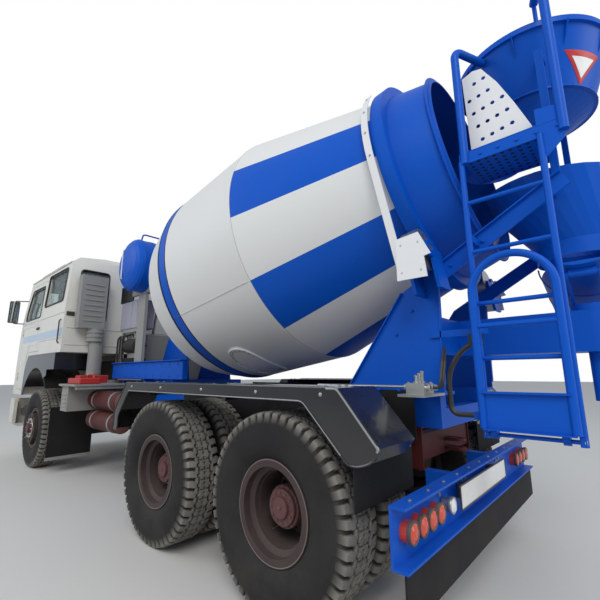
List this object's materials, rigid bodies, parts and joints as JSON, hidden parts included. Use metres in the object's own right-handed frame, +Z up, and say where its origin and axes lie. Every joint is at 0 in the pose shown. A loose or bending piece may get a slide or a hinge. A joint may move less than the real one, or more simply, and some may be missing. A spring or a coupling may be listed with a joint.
{
  "type": "concrete mixer truck",
  "caption": "Three-axle concrete mixer truck with a tilting sleeper cab, turning drum, steered front wheels, opening doors, folding ladder and swinging chute.",
  "frame": {"origin": "on the ground at the middle of the truck's length and width", "axes": "+X to the truck's front, +Y to its left side, +Z up"},
  "size_m": [8.49, 2.9, 3.7314],
  "materials": {
    "tyre": "dusty tread rubber",
    "rim_paint": "dusty reddish paint",
    "drum_paint": "white and blue gloss paint",
    "blue_paint": "gloss blue paint",
    "white_paint": "gloss white paint",
    "cab_paint": "faded cream white paint",
    "black_paint": "black paint",
    "frame_red": "dark red chassis paint",
    "running_gear": "dusty cast iron",
    "grey_metal": "grey paint",
    "bare_steel": "worn bright steel",
    "flap_rubber": "black rubber sheet",
    "lamp_lens": "orange-red lamp lens",
    "glass": "clear window glass",
    "cab_plastic": "black moulded plastic",
    "hose_rubber": "black rubber hose with a bright elbow",
    "seat_fabric": "grey woven seat cover"
  },
  "bodies": {
    "chassis": {"frame_rails": "frame_red", "front_axle": "running_gear", "rear_axles": "running_gear", "springs": "running_gear", "engine": "running_gear", "prop_shaft": "running_gear", "fuel_tank": "grey_metal", "battery_box": "grey_metal", "air_tanks": "frame_red", "front_bumper": "cab_paint", "rear_bumper": "blue_paint", "mudflaps": "flap_rubber", "rear_fenders": "black_paint", "front_fenders": "black_paint", "subframe": "blue_paint", "front_pedestal": "blue_paint", "drum_drive": "grey_metal", "water_tank": "blue_paint", "power_pack": "grey_metal", "rear_pedestal": "blue_paint", "ring_guard": "white_paint", "charging_hopper": "blue_paint", "discharge_funnel": "blue_paint", "ladder": "blue_paint", "hopper_guard": "white_paint", "control_valve": "bare_steel", "rear_lamps": "lamp_lens", "air_intake": "grey_metal", "valve_hose": "hose_rubber"},
    "cab": {"cab_shell": "cab_paint", "cab_glass": "glass", "seats": "seat_fabric", "dashboard": "cab_plastic", "steering_wheel": "cab_plastic", "mirrors": "cab_plastic"},
    "door_left": {"door_left": "cab_paint"},
    "door_right": {"door_right": "cab_paint"},
    "knuckle_left": {"knuckle_left": "running_gear"},
    "knuckle_right": {"knuckle_right": "running_gear"},
    "wheel_front_left": {"tyre_front_left": "tyre", "rim_front_left": "rim_paint"},
    "wheel_front_right": {"tyre_front_right": "tyre", "rim_front_right": "rim_paint"},
    "wheels_mid_left": {"tyres_mid_left": "tyre", "rims_mid_left": "rim_paint"},
    "wheels_mid_right": {"tyres_mid_right": "tyre", "rims_mid_right": "rim_paint"},
    "wheels_rear_left": {"tyres_rear_left": "tyre", "rims_rear_left": "rim_paint"},
    "wheels_rear_right": {"tyres_rear_right": "tyre", "rims_rear_right": "rim_paint"},
    "drum": {"drum": "drum_paint", "drum_ring": "blue_paint"},
    "roller_left": {"roller_left": "bare_steel"},
    "roller_right": {"roller_right": "bare_steel"},
    "chute_swivel": {"chute_swivel": "blue_paint"},
    "chute": {"chute": "blue_paint"},
    "chute_extension": {"chute_extension": "blue_paint"},
    "ladder_lower": {"ladder_lower": "blue_paint"}
  },
  "joints": [
    {"name": "cab_tilt", "type": "hinge", "parent": "chassis", "child": "cab", "pos_m": [4.165, 0, 0.96], "axis": [0, 1, 0], "range_deg": [0, 50]},
    {"name": "door_left_swing", "type": "hinge", "parent": "cab", "child": "door_left", "pos_m": [4.038, 1.224, 1.6], "axis": [0, 0, -1], "range_deg": [0, 70]},
    {"name": "door_right_swing", "type": "hinge", "parent": "cab", "child": "door_right", "pos_m": [4.038, -1.224, 1.6], "axis": [0, 0, 1], "range_deg": [0, 70]},
    {"name": "steer_left", "type": "hinge", "parent": "chassis", "child": "knuckle_left", "pos_m": [2.845, 0.86, 0.56], "axis": [0, 0, 1], "range_deg": [-32, 32]},
    {"name": "steer_right", "type": "hinge", "parent": "chassis", "child": "knuckle_right", "pos_m": [2.845, -0.86, 0.56], "axis": [0, 0, 1], "range_deg": [-32, 32]},
    {"name": "front_left_roll", "type": "hinge", "parent": "knuckle_left", "child": "wheel_front_left", "pos_m": [2.845, 1.04, 0.56], "axis": [0, 1, 0], "continuous": true},
    {"name": "front_right_roll", "type": "hinge", "parent": "knuckle_right", "child": "wheel_front_right", "pos_m": [2.845, -1.04, 0.56], "axis": [0, 1, 0], "continuous": true},
    {"name": "mid_left_roll", "type": "hinge", "parent": "chassis", "child": "wheels_mid_left", "pos_m": [-0.995, 0.9, 0.56], "axis": [0, 1, 0], "continuous": true},
    {"name": "mid_right_roll", "type": "hinge", "parent": "chassis", "child": "wheels_mid_right", "pos_m": [-0.995, -0.9, 0.56], "axis": [0, 1, 0], "continuous": true},
    {"name": "rear_left_roll", "type": "hinge", "parent": "chassis", "child": "wheels_rear_left", "pos_m": [-2.395, 0.9, 0.56], "axis": [0, 1, 0], "continuous": true},
    {"name": "rear_right_roll", "type": "hinge", "parent": "chassis", "child": "wheels_rear_right", "pos_m": [-2.395, -0.9, 0.56], "axis": [0, 1, 0], "continuous": true},
    {"name": "drum_turn", "type": "hinge", "parent": "chassis", "child": "drum", "pos_m": [-1.835, 0, 2.612], "axis": [-0.9863, 0, 0.165], "continuous": true},
    {"name": "roller_left_turn", "type": "hinge", "parent": "chassis", "child": "roller_left", "pos_m": [-3.15419, 0.65929, 2.09035], "axis": [-0.9863, 0, 0.165], "continuous": true},
    {"name": "roller_right_turn", "type": "hinge", "parent": "chassis", "child": "roller_right", "pos_m": [-3.15419, -0.65929, 2.09035], "axis": [-0.9863, 0, 0.165], "continuous": true},
    {"name": "chute_turn", "type": "hinge", "parent": "chassis", "child": "chute_swivel", "pos_m": [-3.925, 0, 1.5], "axis": [0, 0, -1], "range_deg": [0, 150]},
    {"name": "chute_tilt", "type": "hinge", "parent": "chute_swivel", "child": "chute", "pos_m": [-3.925, 0.2, 1.9], "axis": [1, 0, 0], "range_deg": [-8, 8]},
    {"name": "chute_fold", "type": "hinge", "parent": "chute", "child": "chute_extension", "pos_m": [-3.925, -0.86583, 1.77245], "axis": [1, 0, 0], "range_deg": [0, 178]},
    {"name": "ladder_fold", "type": "hinge", "parent": "chassis", "child": "ladder_lower", "pos_m": [-3.66, 0.664, 1.034], "axis": [-1, 0, 0], "range_deg": [0, 176]}
  ],
  "couplings": [
    {"joint": "steer_right", "follows": "steer_left", "ratio": 1},
    {"joint": "roller_left_turn", "follows": "drum_turn", "ratio": -6.2963},
    {"joint": "roller_right_turn", "follows": "drum_turn", "ratio": -6.2963}
  ]
}
